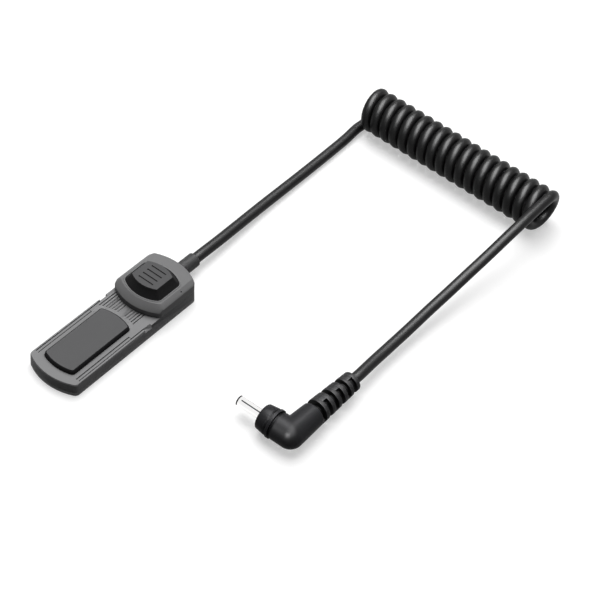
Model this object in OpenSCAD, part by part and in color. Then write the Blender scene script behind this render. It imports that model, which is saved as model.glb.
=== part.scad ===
// Two-button remote switch on a curly lead that ends in a right-angle barrel plug.
// Millimetres. Origin under the middle of the switch casing, +X towards the lead, +Z up.

/* [Casing] */
// Length of the casing over its two bowed ends
case_len = 59; // [57:0.5:64]
// Width of the casing
case_w = 20; // [19.5:0.5:24]
// Plan radius of the casing's bowed ends
end_r = 20; // [18:1:32]
// Plan radius of the casing's corners
corner_r = 1.8; // [1.4:0.1:2.4]
// Thickness of the flat bottom cover
cover_t = 1.2; // [1.2:0.1:2]
// Height of the frame that stands on the bottom cover
frame_h = 3.6; // [3.6:0.1:5]
// Thickness of the frame's and the housing's side walls
wall = 1.2; // [1:0.1:1.4]
// Thickness of the frame's deck
deck_t = 1.2; // [1:0.1:1.3]
// Height of the rubber gasket between the cover and the frame
gasket_t = 0.4; // [0.3:0.05:0.6]
// Running gap round the pad and the button
fit_gap = 0.15; // [0.1:0.01:0.25]
// Gap between pieces that are seated together
seat_gap = 0.02; // [0.01:0.01:0.05]

/* [Front pad] */
// Length of the pad over its two bowed ends
pad_len = 27.4; // [22:0.2:28]
// Width of the pad
pad_w = 12.4; // [11:0.2:13]
// Plan radius of the pad's bowed ends
pad_bow_r = 16; // [12:1:30]
// Plan radius of the pad's corners
pad_corner_r = 1.2; // [0.8:0.1:1.6]
// Distance from the casing's front end to the pad
pad_inset = 3.9; // [3.6:0.1:4.5]
// Height of the pad above the deck
pad_rise = 1.4; // [1:0.1:2]
// Travel of the pad
pad_travel = 0.5; // [0.3:0.05:0.5]

/* [Rear housing] */
// Length of the raised housing over its bowed front and rear
housing_len = 22.3; // [22:0.1:22.8]
// Plan radius of the housing's bowed front
housing_bow_r = 17; // [15:1:20]
// Height of the housing's upright front above the deck
housing_front_h = 2; // [1.8:0.1:2.4]
// Height of the housing's upright sides above the deck
housing_side_h = 3; // [2.4:0.1:3.4]
// Height of the housing's crown above the deck
housing_h = 4.2; // [4.1:0.1:5.5]
// How far the slope from the sides to the crown reaches in
housing_slope = 1.6; // [1.4:0.1:1.8]
// How far the slope from the front to the crown reaches in
housing_front_slope = 2.2; // [1.6:0.1:2.3]
// Thickness of the housing's crown
crown_t = 1.2; // [1:0.1:1.3]
// Height of the lip round the button's opening
lip_h = 0.2; // [0.1:0.05:0.4]

/* [Rear button] */
// Length of the button at its foot, over its bowed ends
button_len = 14.4; // [12.6:0.2:14.6]
// Width of the button at its foot
button_w = 14.6; // [13:0.2:14.8]
// Plan radius of the button's bowed ends
button_bow_r = 12; // [10:1:24]
// Plan radius of the button's corners
button_corner_r = 1.8; // [1.2:0.1:2.2]
// How far each side of the button leans in over its height
button_lean = 1.9; // [1.2:0.1:2.2]
// Height of the button above the crown
button_rise = 3; // [2:0.1:4]
// Travel of the button
button_travel = 0.8; // [0.4:0.05:0.8]
// Number of finger grooves across the button's top
grip_grooves = 4; // [2:1:5]

/* [Circuit board and switches] */
// Thickness of the circuit board
board_t = 0.8; // [0.6:0.1:0.8]
// Width of the circuit board
board_w = 14; // [11:0.5:14]
// Height of the ribs that carry the board
board_gap = 0.3; // [0.2:0.05:0.3]
// Side of the two small switches under the pad
small_switch = 4.5; // [4:0.1:5]
// Height of the small switches' boxes
small_switch_h = 1.4; // [1.2:0.1:1.4]
// Side of the tall switch under the button
tall_switch = 6; // [5:0.1:6.4]
// Height of the tall switch's box
tall_switch_h = 3.2; // [2.8:0.1:3.2]
// Diameter of the small switches' plungers
small_plunger_d = 2.2; // [1.6:0.1:2.6]
// Diameter of the tall switch's plunger
tall_plunger_d = 3.2; // [2.4:0.1:3.6]

/* [Fasteners] */
// Diameter of the cover screws' shanks
screw_d = 1.4; // [1.2:0.1:1.6]
// Diameter of the screw heads
screw_head_d = 2.4; // [2:0.1:2.6]
// Height of the screw heads
screw_head_h = 0.6; // [0.5:0.1:0.8]
// Length of the screws with their heads
screw_len = 3.4; // [3:0.1:3.6]

/* [Strain relief] */
// Diameter of the sleeve where the lead leaves the casing
sleeve_d = 5; // [4.4:0.1:5.2]
// Length of the sleeve outside the casing
sleeve_len = 8.3; // [4:0.1:10]
// Thickness of the collar that holds the sleeve inside the casing
collar_t = 1; // [0.8:0.1:1.2]

/* [Lead] */
// Diameter of the lead
cord_d = 3.7; // [3.4:0.1:3.8]
// Radius from the curls' axis to the middle of the lead
curl_r = 6.2; // [5.5:0.1:7]
// Gap between one curl and the next
curl_gap = 0.43; // [0.42:0.01:1]
// Number of curls
curls = 18.5; // [10.5:1:24.5]
// Turn of the curls' axis away from -Y
curl_yaw = -2; // [-6:1:6]

/* [Plug] */
// Diameter of the plug's barrel
barrel_d = 3.5; // [3.4:0.05:4]
// Length of the barrel that stands out of the plug
barrel_len = 9.2; // [8:0.1:11]
// Bore of the barrel's inner contact
contact_bore_d = 1.35; // [1.3:0.05:1.7]
// Outer diameter of the inner contact
contact_d = 2; // [1.9:0.05:2.1]
// Wall of the barrel
barrel_wall = 0.35; // [0.25:0.05:0.4]
// Diameter of the ring behind the plug's round head
plug_d = 10; // [9.6:0.1:11]
// Diameter of the plug's round head where it starts
head_d = 9.1; // [9:0.1:9.6]
// Diameter of the plug's face
head_face_d = 8.3; // [8:0.1:8.8]
// Diameter of the plug's elbow
elbow_d = 9.2; // [8.6:0.1:9.6]
// Length from the plug's face to the middle of its elbow
plug_leg = 10.4; // [10:0.1:14]
// Length from the middle of the elbow to the ribbed relief
elbow_leg = 10.6; // [9:0.1:13]
// Diameter of the ribbed relief where it starts
relief_d0 = 8.2; // [7.4:0.1:8.6]
// Diameter of the ribbed relief where the lead leaves it
relief_d1 = 6.6; // [5.8:0.1:7]
// Number of slots in the ribbed relief
relief_slots = 6; // [4:1:7]
// Width of one slot
slot_w = 1.7; // [1.2:0.1:1.8]
// Distance from one slot to the next
slot_pitch = 3; // [2.6:0.1:3.4]
// Turn of the whole plug on the floor
plug_yaw = -2; // [-6:1:6]
// Angle of the elbow between the relief and the barrel
elbow_angle = 93; // [88:1:96]

/* [Hidden] */
$fn = 48;

// Colours
grey = [0.5, 0.5, 0.5];
dark = [0.12, 0.12, 0.13];
black = [0.06, 0.06, 0.07];
nickel = [0.82, 0.82, 0.84];

// Running together of the solids that make up one piece
bond = 0.1;
// Steps along one bowed end and round one plan corner
bow_steps = 10;
corner_steps = 4;
// Overrun of a cutting tool past the face it cuts
cut = 0.5;

// Casing heights
frame_top = cover_t + frame_h;
deck_z = frame_top - deck_t;
crown_z = frame_top + housing_h;
shoulder_z = frame_top + housing_side_h;
front_shoulder_z = frame_top + housing_front_h;
crown_low_z = crown_z - crown_t;
inner_shoulder_z = crown_low_z - (crown_z - shoulder_z) / 2;
inner_front_z = front_shoulder_z - wall / 2;
gasket_inset = 0.35;
half_len = case_len / 2;
half_w = case_w / 2;
edge_break = 0.4;
draft = 0.1;

// Front pad
pad_x0 = pad_inset - half_len;
pad_x1 = pad_x0 + pad_len;
pad_mid = (pad_x0 + pad_x1) / 2;
pad_top = frame_top + pad_rise;
flange_t = 0.5;
flange_out = 0.6;
flange_gap = 0.1;
pad_flange_z = deck_z - flange_gap;
pad_skin = 1.2;
pad_edge = 0.35;
post_rim = 0.4;

// Rear housing and button
housing_x1 = half_len;
housing_x0 = housing_x1 - housing_len;
button_back = 10.2;
button_mid = housing_x0 + button_back;
housing_rear_break = 0.3;
button_x0 = button_mid - button_len / 2;
button_x1 = button_mid + button_len / 2;
button_top = crown_z + button_rise;
button_flange_gap = 0.2;
button_flange_z = crown_low_z - button_flange_gap;
button_skin = 1.4;
button_edge = 0.2;
lip_w = 0.5;
lip_lean = 0.2;
grip_w = 0.5;
grip_depth = 0.3;
grip_pitch = 2;
grip_len = 6;
pinhole_x = housing_x1 - 8.7;
pinhole_inset = 0.8;
pinhole_d = 0.5;
pinhole_depth = 0.6;
slope_angle = atan2(crown_z - shoulder_z, housing_slope);

// Circuit board and switches
board_z = cover_t + board_gap;
board_top = board_z + board_t;
board_inset = [1.2, 7.6];
board_x0 = pad_x0 + board_inset[0];
board_x1 = housing_x1 - board_inset[1];
board_r = 1;
switch_inset = 7;
front_switch_x = pad_x0 + switch_inset;
middle_switch_x = pad_x1 - switch_inset;
small_plunger_h = 0.7;
tall_plunger_h = 1.1;
plunger_sunk = 0.6;
plunger_floor = 0.1;
plunger_fit = 0.05;
switch_room = 0.5;

// Screws and their bosses
boss_wall = 0.7;
boss_r = screw_d / 2 + boss_wall;
screw_z = 0.1;
screw_clear = 0.1;
front_screw_inset = [2.3, 5];
rear_screw_inset = [4.2, 3.2];
front_screw = [-half_len + front_screw_inset.x, half_w - front_screw_inset.y];
rear_screw = [housing_x1 - rear_screw_inset.x, half_w - rear_screw_inset.y];
screw_places = [
    for (p = [front_screw, rear_screw])
        for (side = [-1, 1])
            [p.x, side * p.y]
];
recess_w = 0.3;
recess_len = 1.4;
recess_depth = 0.35;
pilot_spare = 0.2;
pilot_top = screw_z + screw_len + pilot_spare;

// Grooves in the deck and the chamfers of its side edges
groove_w = 0.45;
groove_depth = 0.4;
rail_inset = [2, 0.95];
rail_lead = 0.6;
rail_short = 3.6;
rail_strip_depth = 0.12;
fan_gap = 1.8;
fan_mid_y = 0.4;
fan_first_y = 1.5;
fan_pitch = 1.02;
fan_counts = [5, 7];
fan_x1 = housing_x0 + wall + 1;
chamfer_x1 = housing_x0 - 0.7;
chamfer_len = 3.1;
chamfer_w = 1.1;
chamfer_h = 1.3;
rail_x1 = [pad_x1 - rail_short, chamfer_x1 - chamfer_len + groove_w];

// Strain relief
collar_rim = 0.2;
collar_d = sleeve_d + 2 * collar_rim;
collar_clear = 0.1;
sleeve_z = cover_t + collar_clear + collar_d / 2;
sleeve_gap = 0.05;
wall_in_x = half_len - wall;
collar_back = 0.35;
collar_x1 = wall_in_x - collar_back;
collar_x0 = collar_x1 - collar_t;
stub_d = 3;
clip_t = 0.9;
clip_w = 7;
clip_gap = 0.05;
clip_stop_h = 0.6;
rib_w = 0.8;
clip_x1 = collar_x0 - clip_gap;
clip_x0 = clip_x1 - clip_t;
clip_over = 1;
stub_out = 0.3;
stub_x0 = clip_x0 - stub_out;
sleeve_edge = 0.35;
lead_room_side = 1.5;
lead_room_w = collar_d + 2 * lead_room_side;
lead_room_x0 = board_x1 - lead_room_side;
switch_hole = tall_switch + 2 * switch_room;
wire_d = 0.8;
wire_y = 0.8;
wire_spread = 1.3;
wire_straight = 0.6;
wire_lift = 0.1;
wire_pad_x = board_x1 - 1;

// Lead. Route points between the ends that the neighbours set
sleeve_end = [half_len + sleeve_len, 0, sleeve_z];
to_coil_route = [
    [49, 0.1, 3.7],
    [57, 0.4, 3.3],
    [66, 0.8, 2.8],
    [75, 1.1, 2.4],
    [84, 1.2, 2.2],
    [93, 1.3, 2],
    [102, 1.4, 1.9],
    [111, 1.5, 1.9],
    [120, 1.7, 1.9]
];
to_plug_route = [
    [117, -74, 13.6],
    [110, -73.5, 12.4],
    [100, -72.7, 10.3],
    [90, -71.8, 8.3],
    [80, -71.1, 6.7],
    [70, -70.5, 5.5],
    [60, -70.2, 4.7],
    [50, -70, 4.4],
    [42, -70, 4.6]
];
curl_start = [134.5, 2];
curl_pitch = cord_d + curl_gap;
curl_rings = 8;
curl_sides = 6;
cord_sides = 8;
curl_lift = 0.02;
curl_out = [cos(curl_yaw), sin(curl_yaw), 0];
curl_along = [sin(curl_yaw), -cos(curl_yaw), 0];
up = [0, 0, 1];
curl_middle = [curl_start.x, curl_start.y, curl_r + cord_d / 2 + curl_lift];

// Plug, in its own frame: origin in the middle of its elbow, +X to the relief, +Y to the tip
plug_at = [2, -69.1, plug_d / 2];
head_len = 4.2;
neck_groove_w = 0.85;
neck_d = elbow_d - 0.8;
ring_len = 0.85;
spigot_d = 6;
spigot_len = 2;
neck_y = plug_leg - head_len;
tip_y = plug_leg + barrel_len;
tip_ring_t = 0.5;
tip_ring_step = 0.075;
tip_ring_d = barrel_d - 2 * tip_ring_step;
barrel_bore_d = barrel_d - 2 * barrel_wall;
barrel_root = 2.4;
barrel_root_wall = 0.2;
barrel_root_d = barrel_bore_d + 2 * barrel_root_wall;
barrel_slit_w = 0.25;
barrel_slit_depth = 0.15;
barrel_slit_from = 1.4;
barrel_slit_turn = 23;
contact_sunk = 0.2;
relief_end_ring = 1.4;
relief_len = slot_pitch * (relief_slots - 1) + slot_w + relief_end_ring;
relief_core_wall = 0.3;
relief_core_d = cord_d + 2 * relief_core_wall;
bridge_half = 38;
bridge_turn = -30;

// Plan outline with bowed ends and rounded corners, from x0 to x1, counter-clockwise
function bowed(x0, x1, w, bow, cr, front_bow) =
    let (
        yf = w / 2 - cr,
        fb = is_undef(front_bow) ? bow : front_bow,
        dx = sqrt(pow(bow - cr, 2) - yf * yf),
        fx = sqrt(pow(fb - cr, 2) - yf * yf),
        a = atan2(yf, dx),
        fa = atan2(yf, fx),
        rear = x1 - bow,
        front = x0 + fb
    )
    concat(
        [for (i = [0:bow_steps])
            let (t = -a + 2 * a * i / bow_steps) [rear + bow * cos(t), bow * sin(t)]],
        [for (i = [1:corner_steps])
            let (t = a + (90 - a) * i / corner_steps) [rear + dx + cr * cos(t), yf + cr * sin(t)]],
        [for (i = [0:corner_steps - 1])
            let (t = 90 + (90 - fa) * i / corner_steps) [front - fx + cr * cos(t), yf + cr * sin(t)]],
        [for (i = [0:bow_steps])
            let (t = 180 - fa + 2 * fa * i / bow_steps) [front + fb * cos(t), fb * sin(t)]],
        [for (i = [1:corner_steps])
            let (t = 180 + fa + (90 - fa) * i / corner_steps)
                [front - fx + cr * cos(t), -yf + cr * sin(t)]],
        [for (i = [0:corner_steps - 1])
            let (t = 270 + (90 - a) * i / corner_steps)
                [rear + dx + cr * cos(t), -yf + cr * sin(t)]]
    );

// The casing's outline, moved in by a distance
function case_outline(inset = 0) =
    bowed(-half_len + inset, half_len - inset, case_w - 2 * inset, end_r - inset,
        max(corner_r - inset, 0.3));
// The raised housing's outline, moved in by its own distance at the front, sides and rear
function housing_outline(front, side, rear) =
    bowed(housing_x0 + front, housing_x1 - rear, case_w - 2 * side, end_r - side,
        max(corner_r - side / 2, 0.3), housing_bow_r - side);
// How far the housing's front has sloped in at a height
function front_in(z) =
    max(draft, housing_front_slope * (z - front_shoulder_z) / (crown_z - front_shoulder_z));
// The pad's outline, moved out by a distance
function pad_outline(out = 0) =
    bowed(pad_x0 - out, pad_x1 + out, pad_w + 2 * out, pad_bow_r + out, pad_corner_r + out);
// The button's outline, moved out by a distance
function button_outline(out = 0) =
    bowed(button_x0 - out, button_x1 + out, button_w + 2 * out, button_bow_r + out,
        max(button_corner_r + out, 0.3));

// Solid between stacked outlines of equal count, each level [height, outline]
module loft(levels) {
    n = len(levels[0][1]);
    top = n * (len(levels) - 1);
    points = [for (level = levels) for (p = level[1]) [p.x, p.y, level[0]]];
    sides = [
        for (k = [0:len(levels) - 2])
            for (i = [0:n - 1])
                let (j = (i + 1) % n, b = k * n, t = b + n)
                    each [[b + i, t + i, t + j], [b + i, t + j, b + j]]
    ];
    bottom_face = [for (i = [0:n - 1]) i];
    top_face = [for (i = [n - 1:-1:0]) top + i];
    polyhedron(points, concat([bottom_face], sides, [top_face]), convexity = 6);
}

// Upright solid of an outline from z0 to z1
module prism(outline, z0, z1) {
    translate([0, 0, z0])
        linear_extrude(z1 - z0)
            polygon(outline);
}

// Tube over rings of points, each ring counter-clockwise about its direction of travel
module ring_tube(rings) {
    n = len(rings[0]);
    last = n * (len(rings) - 1);
    points = [for (ring = rings) each ring];
    sides = [
        for (k = [0:len(rings) - 2])
            for (i = [0:n - 1])
                let (j = (i + 1) % n, b = k * n, t = b + n)
                    each [[b + i, t + i, t + j], [b + i, t + j, b + j]]
    ];
    start_face = [for (i = [1:n - 2]) [0, i, i + 1]];
    end_face = [for (i = [1:n - 2]) [last, last + i + 1, last + i]];
    polyhedron(points, concat(start_face, sides, end_face), convexity = 10);
}

function unit(v) = v / norm(v);
function heading(path, i) =
    unit(path[min(i + 1, len(path) - 1)] - path[max(i - 1, 0)]);
// Rings of a round cord along a path that is never upright
function cord_rings(path, d, sides) = [
    for (i = [0:len(path) - 1])
        let (t = heading(path, i), side = unit(cross(up, t)), rise = cross(t, side))
            [for (k = [0:sides - 1])
                let (a = 360 * (k + 0.5) / sides)
                    path[i] + d / 2 * (cos(a) * side + sin(a) * rise)]
];

// One ring of the curly lead round its middle, flat towards the neighbouring curls
function curl_ring(middle, turn) =
    let (radial = sin(turn) * curl_out - cos(turn) * up)
        [for (k = [0:curl_sides - 1])
            let (a = 360 * (k + 0.5) / curl_sides)
                middle + cord_d / 2 * (cos(a) * curl_along + sin(a) * radial)];
// The middle of the lead after a number of curls
function curl_point(n) =
    let (turn = 360 * n)
        curl_middle + curl_pitch * n * curl_along
            + curl_r * (sin(turn) * curl_out - cos(turn) * up);
coil_in = curl_point(0) - cord_d * curl_out;
coil_out = curl_point(curls) - cord_d * curl_out;
curl_ring_count = round(curls * curl_rings);
curl_tube_rings = concat(
    [curl_ring(coil_in, 0)],
    [for (i = [0:curl_ring_count])
        curl_ring(curl_point(i / curl_rings), 360 * i / curl_rings)],
    [curl_ring(coil_out, 360 * curls)]
);
// Least distance between the points of rings about one curl apart
least_gap = min([
    for (i = [1:curl_ring_count - curl_rings])
        for (j = [i + curl_rings - 1:min(i + curl_rings + 1, curl_ring_count)])
            for (p = curl_tube_rings[i])
                for (q = curl_tube_rings[j])
                    norm(p - q)
]);
echo("least gap between curls, mm", least_gap);

to_coil_path = concat(
    [sleeve_end, sleeve_end + [cord_d, 0, 0]],
    to_coil_route,
    [coil_in - cord_d * curl_out, coil_in]
);
plug_out = [cos(plug_yaw), sin(plug_yaw), 0];
relief_end = plug_at + (elbow_leg + relief_len) * plug_out;
to_plug_path = concat(
    [coil_out, coil_out - cord_d * curl_out],
    to_plug_route,
    [relief_end + cord_d * plug_out, relief_end]
);
function path_length(path) =
    [for (i = [1:len(path) - 1]) norm(path[i] - path[i - 1])]
        * [for (i = [1:len(path) - 1]) 1];
echo("lead: to coil, coil, to plug, mm", path_length(to_coil_path),
    2 * cord_d + curls * norm([2 * PI * curl_r, curl_pitch]), path_length(to_plug_path));

// Hole through both casing walls for the sleeve
module sleeve_hole() {
    translate([wall_in_x - cut, 0, sleeve_z])
        rotate([0, 90, 0])
            cylinder(d = sleeve_d + 2 * sleeve_gap, h = wall + 2 * cut);
}

module base_cover() {
    color(dark)
    difference() {
        union() {
            prism(case_outline(), 0, cover_t);
            // Ribs that carry the board, and a stop for the clip's feet
            for (x = [board_x0 + board_r, (board_x0 + board_x1) / 2, board_x1 - 2 * board_r])
                translate([x - rib_w / 2, -board_w / 2 + board_r, 0])
                    cube([rib_w, board_w - 2 * board_r, board_z]);
            translate([clip_x0 - clip_gap - rib_w, -clip_w / 2, 0])
                cube([rib_w, clip_w, cover_t + clip_stop_h]);
        }
        for (p = screw_places)
            translate([p.x, p.y, 0]) {
                translate([0, 0, -cut])
                    cylinder(d = screw_d + 2 * screw_clear, h = cover_t + 2 * cut);
                translate([0, 0, -cut])
                    cylinder(d = screw_head_d + 2 * screw_clear, h = cut + screw_z + screw_head_h);
            }
    }
}

module gasket() {
    color(black)
    difference() {
        prism(case_outline(gasket_inset), cover_t, cover_t + gasket_t);
        prism(case_outline(wall), cover_t - cut, cover_t + gasket_t + cut);
        // Ways past the screws and the sleeve
        for (p = screw_places)
            translate([p.x, p.y, cover_t - cut])
                cylinder(d = screw_d + 2 * screw_clear, h = gasket_t + 2 * cut);
        sleeve_hole();
    }
}

// Straight groove along the deck, from x0 to x1 and y0 to y1
module deck_groove(x0, x1, y0, y1, depth) {
    translate([x0, y0, frame_top - depth])
        cube([x1 - x0, y1 - y0, depth + cut]);
}

// What a chamfer takes off the deck's edge on one side, in front of the housing
module edge_chamfer(side) {
    low = [half_w, frame_top - chamfer_h];
    high = [half_w - chamfer_w, frame_top];
    start = low + cut * unit(low - high);
    end = high + cut * unit(high - low);
    translate([chamfer_x1 - chamfer_len, 0, 0])
        rotate([90, 0, 90])
            linear_extrude(chamfer_len)
                polygon([[side * start.x, start.y], [side * start.x, end.y], [side * end.x, end.y]]);
}

module frame() {
    color(grey)
    difference() {
        union() {
            difference() {
                loft([
                    [cover_t, case_outline()],
                    [frame_top - edge_break, case_outline(draft)],
                    [frame_top, case_outline(draft + edge_break / 2)]
                ]);
                // Room for the board and switches
                prism(case_outline(wall), cover_t - cut, deck_z);
            }
            for (y = [front_screw.y, -front_screw.y])
                translate([front_screw.x, y, cover_t])
                    cylinder(r = boss_r, h = frame_h - 0.5 * deck_t);
        }
        // Seat of the gasket
        difference() {
            prism(case_outline(gasket_inset - seat_gap), cover_t - cut, cover_t + gasket_t);
            prism(case_outline(wall + seat_gap), cover_t - 2 * cut, cover_t + gasket_t + cut);
        }
        for (y = [front_screw.y, -front_screw.y])
            translate([front_screw.x, y, 0])
                cylinder(d = screw_d + 2 * seat_gap, h = pilot_top);
        for (y = [rear_screw.y, -rear_screw.y])
            translate([rear_screw.x, y, 0])
                cylinder(r = boss_r + sleeve_gap, h = frame_top + cut);
        // Openings for the pad, the tall switch and the lead's collar
        prism(pad_outline(fit_gap), deck_z - cut, frame_top + cut);
        translate([button_mid - switch_hole / 2, -switch_hole / 2, deck_z - cut])
            cube([switch_hole, switch_hole, deck_t + 2 * cut]);
        translate([lead_room_x0, -lead_room_w / 2, deck_z - cut])
            cube([wall_in_x - lead_room_x0, lead_room_w, deck_t + 2 * cut]);
        sleeve_hole();
        // A sunk strip between two long grooves, and a fan of short ones on each side
        for (k = [0, 1]) {
            side = 2 * k - 1;
            rails = [for (inset = rail_inset) side * (half_w - inset)];
            for (i = [0, 1])
                deck_groove(pad_x0 + rail_lead, rail_x1[i], rails[i] - groove_w / 2,
                    rails[i] + groove_w / 2, groove_depth);
            deck_groove(pad_x0 + rail_lead, rail_x1[0], min(rails), max(rails),
                rail_strip_depth);
            for (i = [0:fan_counts[k] - 1]) {
                y = fan_mid_y + side * (fan_first_y + fan_pitch * i);
                deck_groove(pad_x1 - pad_bow_r + sqrt(pow(pad_bow_r + fan_gap, 2) - y * y),
                    fan_x1, y - groove_w / 2, y + groove_w / 2, groove_depth);
            }
            edge_chamfer(side);
        }
    }
}

module rear_housing() {
    color(grey)
    difference() {
        union() {
            difference() {
                union() {
                    loft([
                        [frame_top, housing_outline(draft, draft, draft)],
                        [front_shoulder_z, housing_outline(draft, draft, draft)],
                        [shoulder_z - edge_break / 2,
                            housing_outline(front_in(shoulder_z - edge_break / 2), draft, draft)],
                        [shoulder_z + edge_break / 2,
                            housing_outline(front_in(shoulder_z + edge_break / 2), edge_break, draft)],
                        [crown_z,
                            housing_outline(housing_front_slope, housing_slope, housing_rear_break)]
                    ]);
                    loft([
                        [crown_z - bond, button_outline(fit_gap + lip_w)],
                        [crown_z + lip_h, button_outline(fit_gap + lip_w - lip_lean)]
                    ]);
                }
                loft([
                    [frame_top - cut, housing_outline(wall, wall, wall)],
                    [inner_front_z, housing_outline(wall, wall, wall)],
                    [inner_shoulder_z,
                        housing_outline(wall + front_in(inner_shoulder_z) - draft, wall, wall)],
                    [crown_low_z,
                        housing_outline(wall + front_in(crown_low_z), wall / 2 + housing_slope, wall)]
                ]);
            }
            for (y = [rear_screw.y, -rear_screw.y])
                translate([rear_screw.x, y, cover_t])
                    cylinder(r = boss_r, h = crown_low_z + crown_t / 4 - cover_t);
        }
        for (y = [rear_screw.y, -rear_screw.y])
            translate([rear_screw.x, y, 0])
                cylinder(d = screw_d + 2 * seat_gap, h = pilot_top);
        prism(button_outline(fit_gap), crown_low_z - cut, crown_z + lip_h + cut);
        sleeve_hole();
        // Pinhole of the indicator in the right-hand slope
        translate([pinhole_x, pinhole_inset - half_w,
            shoulder_z + pinhole_inset * tan(slope_angle)])
            rotate([slope_angle, 0, 0])
                translate([0, 0, -pinhole_depth])
                    cylinder(d = pinhole_d, h = pinhole_depth + cut, $fn = 16);
    }
}

module front_pad() {
    post_z = board_top + small_switch_h + small_plunger_h;
    color(dark) {
        difference() {
            union() {
                prism(pad_outline(flange_out), pad_flange_z - flange_t, pad_flange_z);
                loft([
                    [pad_flange_z - flange_t, pad_outline()],
                    [frame_top, pad_outline()],
                    [pad_top - pad_edge, pad_outline(-draft)],
                    [pad_top, pad_outline(-draft - pad_edge)]
                ]);
            }
            prism(pad_outline(-pad_skin), pad_flange_z - flange_t - cut, pad_top - pad_skin);
        }
        for (x = [front_switch_x, middle_switch_x])
            translate([x, 0, post_z])
                cylinder(d = small_plunger_d + 2 * post_rim, h = pad_top - pad_skin - post_z + bond);
    }
}

module rear_button() {
    post_z = board_top + tall_switch_h + tall_plunger_h;
    color(dark) {
        difference() {
            union() {
                prism(button_outline(flange_out), button_flange_z - flange_t, button_flange_z);
                loft([
                    [button_flange_z - flange_t, button_outline()],
                    [crown_z + lip_h, button_outline()],
                    [button_top - button_edge, button_outline(-button_lean)],
                    [button_top, button_outline(-button_lean - button_edge)]
                ]);
            }
            loft([
                [button_flange_z - flange_t - cut, button_outline(-button_skin)],
                [crown_z, button_outline(-button_skin)],
                [button_top - button_skin, button_outline(-button_lean - button_skin)]
            ]);
            for (i = [0:grip_grooves - 1])
                translate([button_mid + grip_pitch * (i - (grip_grooves - 1) / 2) - grip_w / 2,
                    -grip_len / 2, button_top - grip_depth])
                    cube([grip_w, grip_len, grip_depth + cut]);
        }
        translate([button_mid, 0, post_z])
            cylinder(d = tall_plunger_d + 2 * post_rim, h = button_top - button_skin - post_z + bond);
    }
}

module circuit_board() {
    color([0.05, 0.25, 0.12])
    translate([board_x0, -board_w / 2, board_z])
        linear_extrude(board_t)
            union() {
                translate([board_r, 0])
                    square([board_x1 - board_x0 - 2 * board_r, board_w]);
                translate([0, board_r])
                    square([board_x1 - board_x0, board_w - 2 * board_r]);
                for (x = [board_r, board_x1 - board_x0 - board_r])
                    for (y = [board_r, board_w - board_r])
                        translate([x, y])
                            circle(r = board_r);
            }
}

// Switch box on the board, with a bore for its plunger
module switch_box(x, side, h, plunger_d, travel) {
    color(black)
    difference() {
        translate([x - side / 2, -side / 2, board_top])
            cube([side, side, h]);
        translate([x, 0, board_top + h - plunger_sunk - travel - plunger_floor])
            cylinder(d = plunger_d + 2 * plunger_fit, h = plunger_sunk + travel + plunger_floor + cut);
    }
}

// Plunger that stands out of a switch box
module switch_plunger(x, h, plunger_d, stand) {
    color([0.75, 0.7, 0.6])
    translate([x, 0, board_top + h - plunger_sunk])
        cylinder(d = plunger_d, h = plunger_sunk + stand);
}

module front_switch() {
    switch_box(front_switch_x, small_switch, small_switch_h, small_plunger_d, pad_travel);
}

module front_plunger() {
    switch_plunger(front_switch_x, small_switch_h, small_plunger_d, small_plunger_h);
}

module middle_switch() {
    switch_box(middle_switch_x, small_switch, small_switch_h, small_plunger_d, pad_travel);
}

module middle_plunger() {
    switch_plunger(middle_switch_x, small_switch_h, small_plunger_d, small_plunger_h);
}

module rear_switch() {
    switch_box(button_mid, tall_switch, tall_switch_h, tall_plunger_d, button_travel);
}

module rear_plunger() {
    switch_plunger(button_mid, tall_switch_h, tall_plunger_d, tall_plunger_h);
}

module cover_screws() {
    color(nickel)
    for (p = screw_places)
        translate([p.x, p.y, screw_z])
            difference() {
                union() {
                    cylinder(d = screw_head_d, h = screw_head_h);
                    cylinder(d = screw_d, h = screw_len);
                }
                // Crossed recess for the driver
                for (a = [0, 90])
                    rotate([0, 0, a])
                        translate([-recess_len / 2, -recess_w / 2, -cut])
                            cube([recess_len, recess_w, cut + recess_depth]);
            }
}

// Retainer that straddles the lead's stub behind its collar
module cord_clip() {
    color(nickel)
    difference() {
        translate([clip_x0, -clip_w / 2, cover_t])
            cube([clip_t, clip_w, sleeve_z + stub_d / 2 + clip_over - cover_t]);
        translate([clip_x0 - cut, 0, sleeve_z])
            rotate([0, 90, 0])
                cylinder(d = stub_d + 2 * sleeve_gap, h = clip_t + 2 * cut);
        translate([clip_x0 - cut, -stub_d / 2 - sleeve_gap, cover_t - cut])
            cube([clip_t + 2 * cut, stub_d + 2 * sleeve_gap, sleeve_z - cover_t + cut]);
    }
}

// Insulated wire from the lead's stub down to its solder pad
module wire(side, tint) {
    path = [
        [stub_x0, side * wire_y, sleeve_z],
        [stub_x0 - wire_straight, side * wire_y, sleeve_z],
        [stub_x0 - wire_straight - wire_d, side * wire_y, sleeve_z - wire_d / 2],
        [wire_pad_x + wire_d, side * wire_spread, board_top + wire_d / 2 + wire_lift],
        [wire_pad_x, side * wire_spread, board_top + wire_d / 2]
    ];
    color(tint)
        ring_tube(cord_rings(path, wire_d, 8));
}

module signal_wire() {
    wire(1, [0.7, 0.08, 0.06]);
}

module ground_wire() {
    wire(-1, black);
}

module strain_relief() {
    color(black)
    translate([0, 0, sleeve_z])
        rotate([0, 90, 0]) {
            translate([0, 0, stub_x0])
                cylinder(d = stub_d, h = collar_x0 - stub_x0 + bond);
            translate([0, 0, collar_x0])
                cylinder(d = collar_d, h = collar_t);
            translate([0, 0, collar_x1 - bond])
                cylinder(d = sleeve_d, h = sleeve_end.x - sleeve_edge - collar_x1 + bond);
            translate([0, 0, sleeve_end.x - sleeve_edge])
                cylinder(d1 = sleeve_d, d2 = sleeve_d - 2 * sleeve_edge, h = sleeve_edge);
        }
}

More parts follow.
